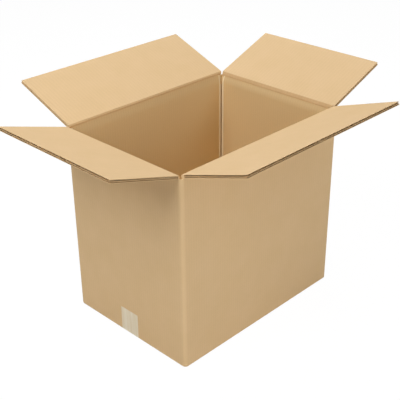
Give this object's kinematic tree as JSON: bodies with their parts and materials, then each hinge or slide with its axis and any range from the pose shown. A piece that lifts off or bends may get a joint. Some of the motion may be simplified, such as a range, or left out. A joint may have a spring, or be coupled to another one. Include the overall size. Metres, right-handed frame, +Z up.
{
  "type": "corrugated cardboard box",
  "caption": "Open shipping carton of double-wall corrugated board with hinged top flaps folded outwards and a taped bottom.",
  "frame": {"origin": "middle of the bottom, on the surface that the box stands on", "axes": "+X along the box's length to the right end wall, +Y across its width to the back wall, +Z up through the open top"},
  "size_m": [0.7454, 0.6158, 0.4745],
  "materials": {
    "kraft_board": "matt kraft paper",
    "packing_tape": "clear film over kraft board"
  },
  "bodies": {
    "carton": {"carton_body": "kraft_board", "bottom_tape": "packing_tape"},
    "front_flap": {"front_flap": "kraft_board"},
    "back_flap": {"back_flap": "kraft_board"},
    "left_flap": {"left_flap": "kraft_board"},
    "right_flap": {"right_flap": "kraft_board"}
  },
  "joints": [
    {"name": "front_flap_fold", "type": "hinge", "parent": "carton", "child": "front_flap", "pos_m": [0, -0.1583, 0.4148], "axis": [1, 0, 0], "range_deg": [-161.3, 48.7]},
    {"name": "back_flap_fold", "type": "hinge", "parent": "carton", "child": "back_flap", "pos_m": [0, 0.1583, 0.4148], "axis": [-1, 0, 0], "range_deg": [-159, 51]},
    {"name": "left_flap_fold", "type": "hinge", "parent": "carton", "child": "left_flap", "pos_m": [-0.221, 0, 0.41055], "axis": [0, -1, 0], "range_deg": [-162.6, 47.4]},
    {"name": "right_flap_fold", "type": "hinge", "parent": "carton", "child": "right_flap", "pos_m": [0.221, 0, 0.41055], "axis": [0, 1, 0], "range_deg": [-158.9, 51.1]}
  ]
}
